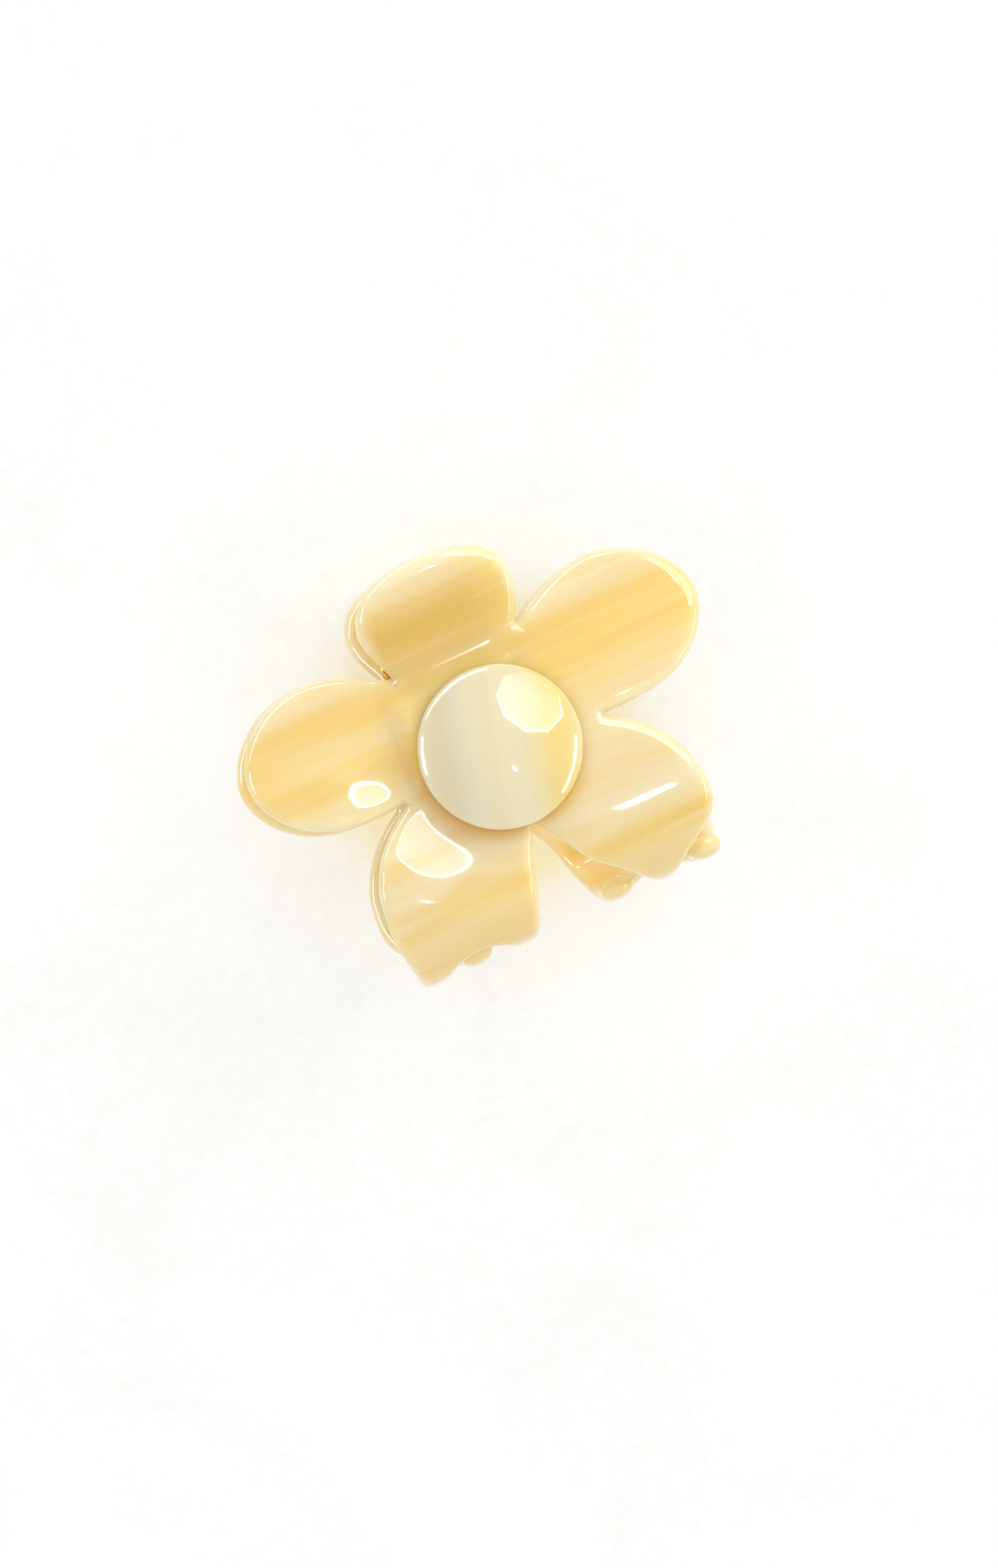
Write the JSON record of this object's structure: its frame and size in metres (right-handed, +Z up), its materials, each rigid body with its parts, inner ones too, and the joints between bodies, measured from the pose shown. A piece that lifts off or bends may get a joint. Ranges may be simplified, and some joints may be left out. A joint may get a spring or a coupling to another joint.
{
  "type": "flower claw hair clip",
  "caption": "Double-sided flower claw clip in glossy horn-coloured acetate: bent petal jaws with interleaving teeth, domed centres and a sprung pin hinge.",
  "frame": {"origin": "under the middle of the clip as it lies on its back flower: centre of the bounding box's bottom face", "axes": "+X along the hinge pin, +Y towards the press tabs, +Z up, the way the front flower faces"},
  "size_m": [0.0758, 0.0614, 0.047],
  "materials": {
    "acetate_petals": "polished, translucent, streaked amber and cream",
    "acetate_domes": "polished, translucent, cream with amber streaks",
    "gold_plate": "gold-plated, bright",
    "spring_wire": "drawn spring wire, gold-toned"
  },
  "bodies": {
    "back_half": {"back_jaw": "acetate_petals", "back_dome": "acetate_domes", "back_hinge_leaf": "gold_plate", "back_leaf_rivets": "gold_plate", "hinge_pin": "gold_plate", "torsion_spring": "spring_wire"},
    "front_half": {"front_jaw": "acetate_petals", "front_dome": "acetate_domes", "front_hinge_leaf": "gold_plate", "front_leaf_rivets": "gold_plate"}
  },
  "joints": [
    {"name": "jaw_hinge", "type": "hinge", "parent": "back_half", "child": "front_half", "pos_m": [0, 0.01668, 0.0235], "axis": [-1, 0, 0], "range_deg": [0, 60], "stiffness_Nm_per_rad": 0.15, "springref_deg": -45.84, "deforming": ["torsion_spring"]}
  ]
}
